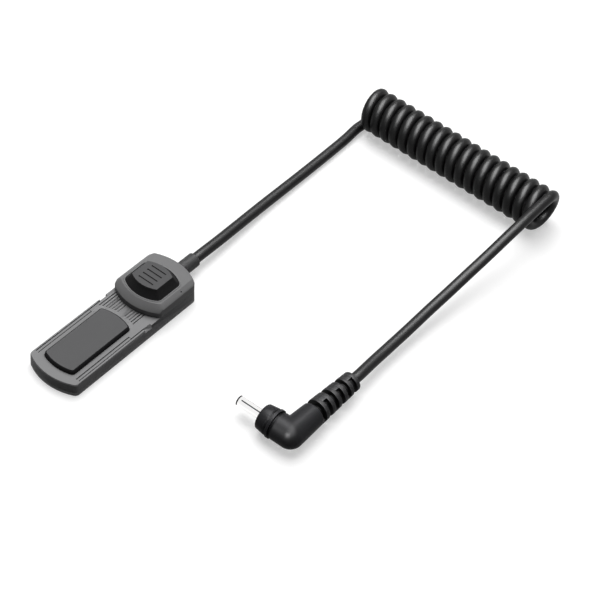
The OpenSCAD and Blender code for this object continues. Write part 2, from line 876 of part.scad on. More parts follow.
module cord_to_coil() {
    color(black)
        ring_tube(cord_rings(to_coil_path, cord_d, cord_sides));
}

module cord_coil() {
    color(black)
        ring_tube(curl_tube_rings);
}

module cord_to_plug() {
    color(black)
        ring_tube(cord_rings(to_plug_path, cord_d, cord_sides));
}

// Places what is drawn in the plug's own frame
module in_plug() {
    translate(plug_at)
        rotate([0, 0, plug_yaw])
            children();
}

// Lays what is drawn along +Z on the barrel's leg, from y towards the elbow
module along_leg(y) {
    rotate([0, 0, elbow_angle - 90])
        translate([0, y, 0])
            rotate([90, 0, 0])
                children();
}

// One slot of the ribbed relief, open all round but for a bridge centred on an angle
module relief_slot(x, bridge_at) {
    big = relief_d0;
    translate([x, 0, 0])
        difference() {
            rotate([0, 90, 0])
                cylinder(d = big + 2 * cut, h = slot_w);
            translate([-cut, 0, 0])
                rotate([0, 90, 0])
                    cylinder(d = relief_core_d, h = slot_w + 2 * cut);
            rotate([bridge_at, 0, 0])
                translate([-cut, -big * sin(bridge_half) / 2, 0])
                    cube([slot_w + 2 * cut, big * sin(bridge_half), big]);
        }
}

module plug_relief() {
    color(black)
    in_plug()
        difference() {
            translate([elbow_leg, 0, 0])
                rotate([0, 90, 0])
                    cylinder(d1 = relief_d0, d2 = relief_d1, h = relief_len);
            for (i = [0:relief_slots - 1])
                relief_slot(elbow_leg + i * slot_pitch, bridge_turn + (i % 2 == 0 ? 180 : 0));
        }
}

module plug_body() {
    color(black)
    in_plug()
        difference() {
            union() {
                sphere(d = elbow_d);
                along_leg(neck_y)
                    cylinder(d = plug_d, h = ring_len);
                along_leg(neck_y)
                    cylinder(d = elbow_d, h = neck_y);
                rotate([0, 90, 0])
                    cylinder(d1 = elbow_d, d2 = relief_d0, h = elbow_leg);
            }
            // Socket for the head's spigot, and the groove behind the ring
            along_leg(neck_y + cut)
                cylinder(d = spigot_d + 2 * seat_gap, h = spigot_len + cut);
            along_leg(neck_y - ring_len)
                difference() {
                    cylinder(d = plug_d + 2 * cut, h = neck_groove_w);
                    translate([0, 0, -cut])
                        cylinder(d = neck_d, h = neck_groove_w + 2 * cut);
                }
        }
}

module plug_head() {
    color(black)
    in_plug()
        along_leg(plug_leg)
            difference() {
                union() {
                    cylinder(d1 = head_face_d, d2 = head_d, h = head_len - neck_groove_w);
                    cylinder(d = neck_d, h = head_len);
                    cylinder(d = spigot_d, h = head_len + spigot_len);
                }
                translate([0, 0, -cut])
                    cylinder(d = barrel_root_d + 2 * seat_gap, h = barrel_root + cut);
            }
}

module plug_barrel() {
    bare_len = barrel_len - tip_ring_t;
    color(nickel)
    in_plug()
        along_leg(tip_y - tip_ring_t)
            difference() {
                union() {
                    cylinder(d = barrel_d, h = bare_len);
                    cylinder(d = barrel_root_d, h = bare_len + barrel_root);
                }
                translate([0, 0, -cut])
                    cylinder(d = barrel_bore_d, h = bare_len + barrel_root + 2 * cut);
                // Seam along the barrel
                rotate([0, 0, 90 + barrel_slit_turn])
                    translate([barrel_d / 2 - barrel_slit_depth, -barrel_slit_w / 2,
                        barrel_slit_from])
                        cube([barrel_d, barrel_slit_w, bare_len - barrel_slit_from]);
            }
}

module plug_insulator() {
    color(black)
    in_plug()
        along_leg(tip_y)
            difference() {
                union() {
                    cylinder(d = tip_ring_d, h = tip_ring_t);
                    cylinder(d = barrel_bore_d - 2 * seat_gap, h = barrel_len + barrel_root);
                }
                translate([0, 0, -cut])
                    cylinder(d = contact_d + 2 * seat_gap, h = barrel_len + barrel_root + 2 * cut);
            }
}

module plug_contact() {
    contact_len = barrel_len + barrel_root - contact_sunk;
    color(nickel)
    in_plug()
        along_leg(tip_y - contact_sunk)
            difference() {
                cylinder(d = contact_d, h = contact_len);
                translate([0, 0, -cut])
                    cylinder(d = contact_bore_d, h = barrel_len - contact_sunk + cut);
            }
}

base_cover();
gasket();
frame();
rear_housing();
front_pad();
rear_button();
circuit_board();
front_switch();
front_plunger();
middle_switch();
middle_plunger();
rear_switch();
rear_plunger();
cover_screws();
cord_clip();
signal_wire();
ground_wire();
strain_relief();
cord_to_coil();
cord_coil();
cord_to_plug();
plug_relief();
plug_body();
plug_head();
plug_barrel();
plug_insulator();
plug_contact();
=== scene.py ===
import math

import bmesh
import bpy
from mathutils import Matrix, Vector


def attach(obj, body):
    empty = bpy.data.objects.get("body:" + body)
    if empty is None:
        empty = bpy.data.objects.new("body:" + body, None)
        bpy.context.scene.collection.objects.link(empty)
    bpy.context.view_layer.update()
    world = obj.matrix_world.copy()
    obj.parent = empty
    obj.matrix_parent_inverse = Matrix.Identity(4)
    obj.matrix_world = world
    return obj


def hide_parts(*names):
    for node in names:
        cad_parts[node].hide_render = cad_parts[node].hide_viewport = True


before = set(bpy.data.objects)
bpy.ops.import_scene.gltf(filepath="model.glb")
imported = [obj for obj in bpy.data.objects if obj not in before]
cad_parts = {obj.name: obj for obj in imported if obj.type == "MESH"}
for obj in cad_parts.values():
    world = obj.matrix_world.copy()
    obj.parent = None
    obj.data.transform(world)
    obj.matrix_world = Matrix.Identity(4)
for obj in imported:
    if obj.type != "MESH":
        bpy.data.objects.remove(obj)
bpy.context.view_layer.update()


# Camera
# One camera above the front right of the casing, looking down along the lead. Here and below,
# places and sizes are in mm until they are multiplied by mm.
mm = 0.001


def placed(name, data):
    """A new object in the scene."""
    piece = bpy.data.objects.new(name, data)
    bpy.context.scene.collection.objects.link(piece)
    return piece


camera_data = bpy.data.cameras.new("camera")
camera_data.sensor_width = 36
camera_data.lens = 96.51
camera_place = Vector((-243.25, -236.08, 376.98))
camera_right = Vector((0.62602, -0.7765, 0.07175))
camera_up = Vector((0.53675, 0.49582, 0.68269))
camera_ahead = Vector((0.56568, 0.38886, -0.72718))
camera = placed("camera", camera_data)
camera.matrix_world = (Matrix.Translation(camera_place * mm)
                       @ Matrix((camera_right, camera_up, -camera_ahead)).transposed().to_4x4())
bpy.context.scene.camera = camera
bpy.context.scene.view_settings.view_transform = "Standard"


# Lead
# A round two-core lead in a black rubbery jacket. It leaves the casing straight, is wound into one
# long row of curls that lies on the table, and comes back to the plug.
def build_group(name, inputs, outputs):
    """A shader group with named number sockets, and its input and output nodes."""
    group = bpy.data.node_groups.new(name, "ShaderNodeTree")
    for label, value in inputs:
        socket = group.interface.new_socket(label, in_out="INPUT", socket_type="NodeSocketFloat")
        socket.default_value = value
    for label in outputs:
        group.interface.new_socket(label, in_out="OUTPUT", socket_type="NodeSocketFloat")
    return group, group.nodes.new("NodeGroupInput"), group.nodes.new("NodeGroupOutput")


def math_node(tree, operation, first, second):
    """What an operation gives for two numbers or two other nodes' outputs."""
    node = tree.nodes.new("ShaderNodeMath")
    node.operation = operation
    for socket, value in zip(node.inputs, (first, second)):
        if isinstance(value, (int, float)):
            socket.default_value = value
        else:
            tree.links.new(value, socket)
    return node.outputs[0]


# Fine spark-eroded grain of a moulded surface: a height for the bump and a slow change of tone
fine_share = 0.7
cell_share = 0.3
grain, grain_in, grain_out = build_group(
    "moulded_grain", [("Grains per mm", 6.0), ("Cloud per mm", 0.12)], ["Height", "Tone"])
grain_place = grain.nodes.new("ShaderNodeTexCoord")
grain_mm = grain.nodes.new("ShaderNodeVectorMath")
grain_mm.operation = "SCALE"
grain_mm.inputs["Scale"].default_value = 1 / mm
grain.links.new(grain_place.outputs["Object"], grain_mm.inputs[0])
grain_fine = grain.nodes.new("ShaderNodeTexNoise")
grain_fine.inputs["Detail"].default_value = 3.0
grain_cells = grain.nodes.new("ShaderNodeTexVoronoi")
grain_cloud = grain.nodes.new("ShaderNodeTexNoise")
grain_cloud.inputs["Detail"].default_value = 4.0
for texture, scale in ((grain_fine, "Grains per mm"), (grain_cells, "Grains per mm"),
                       (grain_cloud, "Cloud per mm")):
    grain.links.new(grain_mm.outputs[0], texture.inputs["Vector"])
    grain.links.new(grain_in.outputs[scale], texture.inputs["Scale"])
grain_height_sum = math_node(
    grain, "ADD", math_node(grain, "MULTIPLY", grain_fine.outputs[0], fine_share),
    math_node(grain, "MULTIPLY", grain_cells.outputs["Distance"], cell_share))
grain.links.new(grain_height_sum, grain_out.inputs["Height"])
grain.links.new(grain_cloud.outputs[0], grain_out.inputs["Tone"])

# Where an outside edge is lightened as a painted highlight: 1 along edges, 0 on flat faces
flat_from = 0.995
edge_from = 0.85
edge_highlight, edge_highlight_in, edge_highlight_out = build_group("painted_edge_highlights", [("Width", 0.3 * mm)], ["Edge"])
edge_highlight_round = edge_highlight.nodes.new("ShaderNodeBevel")
edge_highlight_round.samples = 6
edge_highlight.links.new(edge_highlight_in.outputs["Width"], edge_highlight_round.inputs["Radius"])
edge_highlight_face = edge_highlight.nodes.new("ShaderNodeNewGeometry")
edge_highlight_dot = edge_highlight.nodes.new("ShaderNodeVectorMath")
edge_highlight_dot.operation = "DOT_PRODUCT"
edge_highlight.links.new(edge_highlight_round.outputs[0], edge_highlight_dot.inputs[0])
edge_highlight.links.new(edge_highlight_face.outputs["Normal"], edge_highlight_dot.inputs[1])
edge_highlight_range = edge_highlight.nodes.new("ShaderNodeMapRange")
edge_highlight_range.inputs["From Min"].default_value = flat_from
edge_highlight_range.inputs["From Max"].default_value = edge_from
edge_highlight.links.new(edge_highlight_dot.outputs["Value"], edge_highlight_range.inputs["Value"])
edge_highlight.links.new(edge_highlight_range.outputs["Result"], edge_highlight_out.inputs["Edge"])

# Painted shade in grooves and gaps: a share of tone from how open a spot is to the light, 1 on open faces,
# less at the bottom of a groove or a gap
openness, openness_in, openness_out = build_group(
    "painted_crevice_shade", [("Reach", 1.0 * mm), ("Closed", 0.4), ("Open", 0.85), ("Darkest", 0.3)], ["Tone"])
openness_probe = openness.nodes.new("ShaderNodeAmbientOcclusion")
openness_probe.samples = 6
openness.links.new(openness_in.outputs["Reach"], openness_probe.inputs["Distance"])
openness_range = openness.nodes.new("ShaderNodeMapRange")
openness.links.new(openness_probe.outputs["AO"], openness_range.inputs["Value"])
openness.links.new(openness_in.outputs["Closed"], openness_range.inputs["From Min"])
openness.links.new(openness_in.outputs["Open"], openness_range.inputs["From Max"])
openness.links.new(openness_in.outputs["Darkest"], openness_range.inputs["To Min"])
openness.links.new(openness_range.outputs["Result"], openness_out.inputs["Tone"])


def mixed_tone(tree, factor, first, second):
    """From the first tone to the second as the factor goes from 0 to 1."""
    mix = tree.nodes.new("ShaderNodeMix")
    mix.data_type = "RGBA"
    tree.links.new(factor, mix.inputs["Factor"])
    for label, tone in (("A", first), ("B", second)):
        if isinstance(tone, tuple):
            mix.inputs[label].default_value = (*tone, 1)
        else:
            tree.links.new(tone, mix.inputs[label])
    return mix.outputs["Result"]


def moulded_finish(name, tone, roughness, grains=6.0, grain_height=0.02, cloud=0.08, metallic=0.0,
                   specular=0.5, edge=1.25, edge_width=0.25, edge_share=0.35, painted_wall_shade=None,
                   wall_from=0.6, wall_to=0.95, crevice=0.0, darkest=0.3, closed=0.4, opened=0.85):
    """A dielectric or metal finish with its grain, slow clouds of tone, edges lightened as a painted
    highlight (faintly by default), and painted shade in grooves and on upright faces when asked.

    A wall tone, when given, is painted on upright faces as shade, between two values of the upward
    slope. crevice is how far in mm painted shade darkens a groove or a gap and what is near it, down to
    the darkest share of its tone."""
    gloss_spread = 0.12
    material = bpy.data.materials.new(name)
    material.use_nodes = True
    tree = material.node_tree
    shader = tree.nodes["Principled BSDF"]
    shader.inputs["Metallic"].default_value = metallic
    shader.inputs["Specular IOR Level"].default_value = specular
    surface = tree.nodes.new("ShaderNodeGroup")
    surface.node_tree = grain
    surface.inputs["Grains per mm"].default_value = grains
    colour = mixed_tone(tree, surface.outputs["Tone"], tuple(c * (1 - cloud) for c in tone),
                        tuple(c * (1 + cloud) for c in tone))
    # Upright faces are painted a darker tone than the tops: painted shade
    if painted_wall_shade:
        upright = tree.nodes.new("ShaderNodeNewGeometry")
        split = tree.nodes.new("ShaderNodeSeparateXYZ")
        tree.links.new(upright.outputs["Normal"], split.inputs[0])
        share = tree.nodes.new("ShaderNodeMapRange")
        share.inputs["From Min"].default_value = wall_from
        share.inputs["From Max"].default_value = wall_to
        tree.links.new(split.outputs["Z"], share.inputs["Value"])
        colour = mixed_tone(tree, share.outputs["Result"], painted_wall_shade, colour)
    # Edges are lightened towards the edge factor times the tone: a painted highlight
    edge_lit = tree.nodes.new("ShaderNodeGroup")
    edge_lit.node_tree = edge_highlight
    edge_lit.inputs["Width"].default_value = edge_width * mm
    colour = mixed_tone(tree, math_node(tree, "MULTIPLY", edge_lit.outputs["Edge"], edge_share), colour,
                        tuple(min(c * edge, 1) for c in tone))
    # Grooves, gaps and what is near them are darkened as painted shade
    if crevice:
        gaps = tree.nodes.new("ShaderNodeGroup")
        gaps.node_tree = openness
        for label, value in (("Reach", crevice * mm), ("Darkest", darkest), ("Closed", closed),
                             ("Open", opened)):
            gaps.inputs[label].default_value = value
        shade = tree.nodes.new("ShaderNodeVectorMath")
        shade.operation = "SCALE"
        tree.links.new(colour, shade.inputs[0])
        tree.links.new(gaps.outputs["Tone"], shade.inputs["Scale"])
        colour = shade.outputs[0]
    tree.links.new(colour, shader.inputs["Base Color"])
    gloss = tree.nodes.new("ShaderNodeMapRange")
    gloss.inputs["To Min"].default_value = roughness * (1 - gloss_spread)
    gloss.inputs["To Max"].default_value = min(roughness * (1 + gloss_spread), 1)
    tree.links.new(surface.outputs["Tone"], gloss.inputs["Value"])
    tree.links.new(gloss.outputs["Result"], shader.inputs["Roughness"])
    bump = tree.nodes.new("ShaderNodeBump")
    bump.inputs["Strength"].default_value = 1.0
    bump.inputs["Distance"].default_value = grain_height * mm
    tree.links.new(surface.outputs["Height"], bump.inputs["Height"])
    tree.links.new(bump.outputs["Normal"], shader.inputs["Normal"])
    return material


up = Vector((0, 0, 1))
lead_d = 3.7
sleeve_end = Vector((37.8, 0, 4))
to_curls = [(49, 0.1, 3.7), (57, 0.4, 3.3), (66, 0.8, 2.8), (75, 1.1, 2.4), (84, 1.2, 2.2), (93, 1.3, 2),
            (102, 1.4, 1.9), (111, 1.5, 1.9), (120, 1.7, 1.9)]
to_plug = [(117, -74, 13.6), (110, -73.5, 12.4), (100, -72.7, 10.3), (90, -71.8, 8.3), (80, -71.1, 6.7),
           (70, -70.5, 5.5), (60, -70.2, 4.7), (50, -70, 4.4), (42, -70, 4.6)]
leg_steps = 5
curl_r = 6.2
curl_gap = 0.43
curl_pitch = lead_d + curl_gap
curls = 18.5
curl_steps = 24
curl_turn = math.radians(-2)
curl_out = Vector((math.cos(curl_turn), math.sin(curl_turn), 0))
curl_along = Vector((math.sin(curl_turn), -math.cos(curl_turn), 0))
above_table = 0.02
curl_middle = Vector((134.5, 2, curl_r + lead_d / 2 + above_table))
plug_at = Vector((2, -69.1, 5))
plug_turn = math.radians(-2)
plug_out = Vector((math.cos(plug_turn), math.sin(plug_turn), 0))
relief_from = 10.6
relief_len = 18.1


def curl_point(n):
    """The middle of the lead after n turns."""
    turn = 2 * math.pi * n
    return (curl_middle + curl_pitch * n * curl_along
            + curl_r * (math.sin(turn) * curl_out - math.cos(turn) * up))


def smooth_through(points, before, after, steps):
    """Points on one smooth line through the given ones, with a neighbour on each side."""
    line = [before, *points, after]
    found = []
    for a, b, c, d in zip(line, line[1:], line[2:], line[3:]):
        for k in range(steps):
            t = k / steps
            found.append(0.5 * (2 * b + (c - a) * t + (2 * a - 5 * b + 4 * c - d) * t * t
                                + (3 * b - 3 * c + d - a) * t * t * t))
    return found + [points[-1]]


relief_end = plug_at + (relief_from + relief_len) * plug_out
along_x = Vector((lead_d, 0, 0))
curls_start = curl_point(0)
curls_end = curl_point(curls)
first_leg = [sleeve_end, sleeve_end + along_x, *[Vector(p) for p in to_curls],
             curls_start - 2 * lead_d * curl_out, curls_start - lead_d * curl_out, curls_start]
last_leg = [curls_end, curls_end - lead_d * curl_out, *[Vector(p) for p in to_plug],
            relief_end + lead_d * plug_out, relief_end]
lead_line = smooth_through(first_leg, sleeve_end - along_x, curls_start + lead_d * curl_out, leg_steps)
lead_line += [curl_point(k / curl_steps) for k in range(1, int(curls * curl_steps))]
lead_line += smooth_through(last_leg, curls_end + lead_d * curl_out, relief_end - lead_d * plug_out,
                            leg_steps)
lead_curve = bpy.data.curves.new("lead", "CURVE")
lead_curve.dimensions = "3D"
lead_curve.bevel_depth = lead_d / 2 * mm
lead_curve.bevel_resolution = 8
lead_curve.use_fill_caps = True
lead_spline = lead_curve.splines.new("POLY")
lead_spline.points.add(len(lead_line) - 1)
for spot, place in zip(lead_spline.points, lead_line):
    spot.co = (*(place * mm), 1)
lead_spline.use_smooth = True
lead = placed("lead", lead_curve)
# Painted shade darkens the lead where curls and legs lie close, down to a tenth of its tone
lead_rubber = moulded_finish("lead_rubber", (0.003, 0.003, 0.0032), 0.42, grains=9, grain_height=0.003,
                             cloud=0.1, edge=1.0, specular=0.1, crevice=3.0, darkest=0.1, opened=0.95)
lead_curve.materials.append(lead_rubber)
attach(lead, "casing")
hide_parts("cord_to_coil", "cord_coil", "cord_to_plug")


# Case frame and rear housing
# Two shells moulded in grey plastic with a fine spark-eroded grain: the flat frame with its grooved
# deck, and the raised housing that stands on its rear half.
def plain_mesh(piece):
    """A piece's mesh with its modifiers worked in."""
    return bpy.data.meshes.new_from_object(piece.evaluated_get(bpy.context.evaluated_depsgraph_get()))


def softened(node, width, segments=2, sharp=40.0, material=None, body="casing"):
    """A clean copy of a fixed node, its faces joined and its edges rounded by a width in mm."""
    merge_within = 0.002
    flat_within = 1.0
    round_above = 24.0
    piece = placed(node + "_dressed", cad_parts[node].data.copy())
    work = bmesh.new()
    work.from_mesh(piece.data)
    bmesh.ops.remove_doubles(work, verts=work.verts, dist=merge_within * mm)
    bmesh.ops.dissolve_limit(work, angle_limit=math.radians(flat_within), verts=work.verts, edges=work.edges)
    work.to_mesh(piece.data)
    work.free()
    if width:
        edges = piece.modifiers.new("edges", "BEVEL")
        edges.width = width * mm
        edges.segments = segments
        edges.limit_method = "ANGLE"
        edges.angle_limit = math.radians(round_above)
        edges.miter_outer = "MITER_ARC"
        rounded = plain_mesh(piece)
        piece.modifiers.clear()
        piece.data = rounded
    for face in piece.data.polygons:
        face.use_smooth = width > 0 or abs(face.normal.z) < 0.99
    piece.data.set_sharp_from_angle(angle=math.radians(sharp))
    piece.data.materials.clear()
    piece.data.materials.append(material)
    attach(piece, body)
    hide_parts(node)
    return piece


# Painted on the frame's grey: highlights along its edges, shade in its grooves, and a darker tone on its
# upright walls as shade
grey_shell = moulded_finish("grey_shell", (0.235, 0.235, 0.238), 0.58, grains=7, grain_height=0.015,
                            cloud=0.05, edge=1.6, edge_share=0.7, edge_width=0.2, specular=0.1, crevice=1.1,
                            darkest=0.6, painted_wall_shade=(0.13, 0.13, 0.132), wall_from=0.3, wall_to=0.5)
# The housing's grey is a darker copy of the frame's grey, as painted shade, with the same painted edge
# highlights, groove shade and wall shade
shaded_housing_grey = moulded_finish("shaded_housing_grey", (0.18, 0.18, 0.182), 0.58, grains=7, grain_height=0.015,
                              cloud=0.05, edge=1.8, edge_share=0.7, edge_width=0.2, specular=0.1, crevice=0.9,
                              darkest=0.15, painted_wall_shade=(0.115, 0.115, 0.117), wall_from=0.3, wall_to=0.5)
softened("frame", 0, material=grey_shell)
softened("rear_housing", 0.12, segments=3, sharp=12, material=shaded_housing_grey)


# Front pad
# The long pressure pad, moulded in one piece: a matt top inside a smooth, round rim, and walls that
# go down into the deck's opening, rim and walls painted near black as shade. A flange under the deck
# keeps it in.
def bowed_outline(x0, x1, width, bow, corner, bow_steps=24, corner_steps=8):
    """Outline in mm with bowed ends and rounded corners, counter-clockwise."""
    side = width / 2 - corner
    reach = math.sqrt((bow - corner) ** 2 - side ** 2)
    half_bow = math.atan2(side, reach)
    quarter = math.pi / 2
    rear_x = x1 - bow
    front_x = x0 + bow

    def corner_points(x, y, start, turns):
        return [(x + corner * math.cos(t), y + corner * math.sin(t))
                for t in (start + (quarter - half_bow) * i / corner_steps for i in turns)]

    with_last = range(1, corner_steps + 1)
    with_first = range(corner_steps)
    line = [(rear_x + bow * math.cos(t), bow * math.sin(t))
            for t in (-half_bow + 2 * half_bow * i / bow_steps for i in range(bow_steps + 1))]
    line += corner_points(rear_x + reach, side, half_bow, with_last)
    line += corner_points(front_x - reach, side, quarter, with_first)
    line += [(front_x - bow * math.cos(t), bow * math.sin(t))
             for t in (half_bow - 2 * half_bow * i / bow_steps for i in range(bow_steps + 1))]
    line += corner_points(front_x - reach, -side, math.pi + half_bow, with_last)
    line += corner_points(rear_x + reach, -side, 3 * quarter, with_first)
    return line


def mesh_from(name, work):
    mesh = bpy.data.meshes.new(name)
    work.to_mesh(mesh)
    work.free()
    return mesh


def skinned(work, rings):
    """Faces between rings of points and over both ends, pointing outwards."""
    count = len(rings[0])
    for low, high in zip(rings, rings[1:]):
        for k in range(count):
            work.faces.new((low[k], low[(k + 1) % count], high[(k + 1) % count], high[k]))
    work.faces.new(list(reversed(rings[0])))
    work.faces.new(rings[-1])
    bmesh.ops.recalc_face_normals(work, faces=work.faces)


def stacked(name, levels, posts=()):
    """A closed skin between outlines of equal count, each level (height, outline), and round posts."""
    work = bmesh.new()
    skinned(work, [[work.verts.new((x * mm, y * mm, z * mm)) for x, y in outline] for z, outline in levels])
    for x, radius, low, high in posts:
        bmesh.ops.create_cone(work, cap_ends=True, segments=32, radius1=radius * mm, radius2=radius * mm,
                              depth=(high - low) * mm,
                              matrix=Matrix.Translation(Vector((x, 0, (low + high) / 2)) * mm))
    return mesh_from(name, work)


def shown(name, mesh, material, node, body="casing", sharp=40.0):
    """A finished fixed piece that stands for one node."""
    piece = placed(name, mesh)
    for face in mesh.polygons:
        face.use_smooth = True
    mesh.set_sharp_from_angle(angle=math.radians(sharp))
    mesh.materials.clear()
    mesh.materials.append(material)
    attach(piece, body)
    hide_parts(node)
    return piece


# Painted shade: the round rim and the walls get a near-black tone, the flat top keeps the grey
pad_plastic = moulded_finish("pad_plastic", (0.104, 0.104, 0.106), 0.62, grains=7, grain_height=0.012,
                             cloud=0.06, painted_wall_shade=(0.007, 0.007, 0.0075), wall_from=0.955, wall_to=0.996,
                             edge=1.0, specular=0.1)
pad_front = -25.6
pad_rear = 1.8
pad_width = 12.4
pad_bow = 16
pad_corner = 1.2
least_corner = 0.3
pad_rim = 0.6
pad_top = 6.2
# Height and overhang of each level: the hollow underside, the flange, the wall, the round rim
pad_levels = [(5.0, -1.19), (3.0, -1.19), (3.0, 0.6), (3.5, 0.6), (3.5, 0.0), (4.8, 0.0)]
pad_levels += [(pad_top - pad_rim * (1 - math.sin(t)), -0.1 - pad_rim * (1 - math.cos(t)))
               for t in (math.pi / 2 * k / 8 for k in range(9))]
pad_levels += [(pad_top, -0.1 - pad_rim - 0.3)]
pad_mesh = stacked(
    "front_pad_dressed",
    [(z, bowed_outline(pad_front - out, pad_rear + out, pad_width + 2 * out, pad_bow + out,
                       max(pad_corner + out, least_corner))) for z, out in pad_levels],
    posts=[(-18.6, 1.5, 4.4, 5.1), (-5.2, 1.5, 4.4, 5.1)])
shown("front_pad_dressed", pad_mesh, pad_plastic, "front_pad", body="pad", sharp=50)


# Bottom cover and its screws
# A flat cover moulded in black plastic, which closes the casing from below. Four small steel screws
# with a cross in their heads hold it, sunk into its underside.
# Its edges are lightened a little, as a painted highlight
cover_plastic = moulded_finish("cover_plastic", (0.03, 0.03, 0.032), 0.55, grains=6, grain_height=0.02)
softened("base_cover", 0.08, sharp=12, material=cover_plastic)
# Its edges are lightened a little, as a painted highlight
steel = moulded_finish("steel", (0.55, 0.55, 0.56), 0.3, grains=4, grain_height=0.004, metallic=1.0)


class NodeTree:
    """A Geometry Nodes tree with its inputs in mm, radians or counts, made into one plain mesh."""

    def __init__(self, name, sizes, material):
        self.tree = bpy.data.node_groups.new(name, "GeometryNodeTree")
        self.sizes = sizes
        self.material = material
        face = self.tree.interface
        face.new_socket("Geometry", in_out="INPUT", socket_type="NodeSocketGeometry")
        face.new_socket("Geometry", in_out="OUTPUT", socket_type="NodeSocketGeometry")
        for label, value in sizes.items():
            kind = "NodeSocketInt" if isinstance(value, int) else "NodeSocketFloat"
            face.new_socket(label, in_out="INPUT", socket_type=kind).default_value = value
        self.start = self.tree.nodes.new("NodeGroupInput")
        self.end = self.tree.nodes.new("NodeGroupOutput")

    def size(self, label):
        return self.start.outputs[label]

    def node(self, kind, inputs=None, **settings):
        made = self.tree.nodes.new(kind)
        for label, value in settings.items():
            setattr(made, label, value)
        for label, value in (inputs or {}).items():
            socket = made.inputs[label]
            if isinstance(value, bpy.types.NodeSocket):
                self.tree.links.new(value, socket)
            else:
                socket.default_value = value
        return made

    def maths(self, operation, first, second):
        return self.node("ShaderNodeMath", {0: first, 1: second}, operation=operation).outputs[0]

    def vector(self, x=0.0, y=0.0, z=0.0):
        return self.node("ShaderNodeCombineXYZ", {0: x, 1: y, 2: z}).outputs[0]

    def joined(self, *parts):
        join = self.node("GeometryNodeJoinGeometry")
        for part in parts:
            self.tree.links.new(part, join.inputs[0])
        return join.outputs[0]

    def cut(self, solid, *tools):
        """A solid with others taken out of it."""
        saw = self.node("GeometryNodeMeshBoolean", {"Mesh 1": solid}, operation="DIFFERENCE")
        for tool in tools:
            self.tree.links.new(tool, saw.inputs["Mesh 2"])
        return saw.outputs["Mesh"]

    def finished(self, name, geometry, start, body, node, place=(0, 0, 0), turn=0.0):
        """Realize, move into the object's frame, set the material and turn it into a plain mesh."""
        solid = self.node("GeometryNodeRealizeInstances", {0: geometry}).outputs[0]
        moved = self.node("GeometryNodeTransform", {
            "Geometry": solid, "Translation": tuple(Vector(place) * mm), "Rotation": (0, 0, turn),
            "Scale": (mm, mm, mm)}).outputs[0]
        made = self.node("GeometryNodeSetMaterial", {0: moved, "Material": self.material}).outputs[0]
        self.tree.links.new(made, self.end.inputs[0])
        if isinstance(start, bpy.types.Mesh):
            seed = start
        else:
            seed = bpy.data.meshes.new(name + "_points")
            seed.from_pydata([tuple(p) for p in start], [], [])
        piece = placed(name, seed)
        work = piece.modifiers.new("made", "NODES")
        work.node_group = self.tree
        for item in self.tree.interface.items_tree:
            if item.in_out == "INPUT" and item.name in self.sizes:
                work[item.identifier] = self.sizes[item.name]
        mesh = plain_mesh(piece)
        piece.modifiers.clear()
        piece.data = mesh
        for face in mesh.polygons:
            face.use_smooth = True
        mesh.set_sharp_from_angle(angle=math.radians(40))
        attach(piece, body)
        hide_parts(node)
        return piece


screws = NodeTree("cross_screws", {
    "Head diameter": 2.4, "Head height": 0.6, "Shank diameter": 1.4, "Length": 3.4, "Recess length": 1.4,
    "Recess width": 0.3, "Recess depth": 0.35}, steel)


def standing(tree, diameter, height, sides):
    """An upright cylinder on z = 0."""
    drum = tree.node("GeometryNodeMeshCylinder", {
        "Vertices": sides, "Radius": tree.maths("MULTIPLY", diameter, 0.5), "Depth": height})
    return tree.node("GeometryNodeTransform", {
        "Geometry": drum.outputs["Mesh"],
        "Translation": tree.vector(z=tree.maths("MULTIPLY", height, 0.5))}).outputs[0]


recess_deep = screws.maths("MULTIPLY", screws.size("Recess depth"), 2.0)
recess_bars = [
    screws.node("GeometryNodeMeshCube", {
        "Size": screws.vector(screws.size(x), screws.size(y), recess_deep)}).outputs["Mesh"]
    for x, y in (("Recess length", "Recess width"), ("Recess width", "Recess length"))]
screw_head = screws.cut(standing(screws, screws.size("Head diameter"), screws.size("Head height"), 40),
                        *recess_bars)
screw_shank = standing(screws, screws.size("Shank diameter"), screws.size("Length"), 24)
screw_copies = screws.node("GeometryNodeInstanceOnPoints", {
    "Points": screws.start.outputs[0], "Instance": screws.joined(screw_head, screw_shank)}).outputs[0]
screw_places = [(x, side * y, 0.1) for x, y in ((-27.2, 5), (25.3, 6.8)) for side in (-1, 1)]
screws.finished("cover_screws_dressed", screw_copies, screw_places, "casing", "cover_screws")


# Rear button
# The tall push button, moulded in one piece like the pad: leaning walls painted dark as shade, a matt
# top with four grip grooves across it, and a flange that keeps it in the housing.
# Painted shade: the walls get a near-black tone and the grip grooves are darkened
button_plastic = moulded_finish("button_plastic", (0.098, 0.098, 0.1), 0.6, grains=7,
                                grain_height=0.012, cloud=0.06, painted_wall_shade=(0.014, 0.014, 0.0145),
                                wall_from=0.9, wall_to=0.98, edge=1.0, specular=0.05, crevice=0.6,
                                darkest=0.2)
button_front = 10.2
button_rear = 24.6
button_width = 14.6
button_bow = 12
button_corner = 1.8
button_top = 12.0
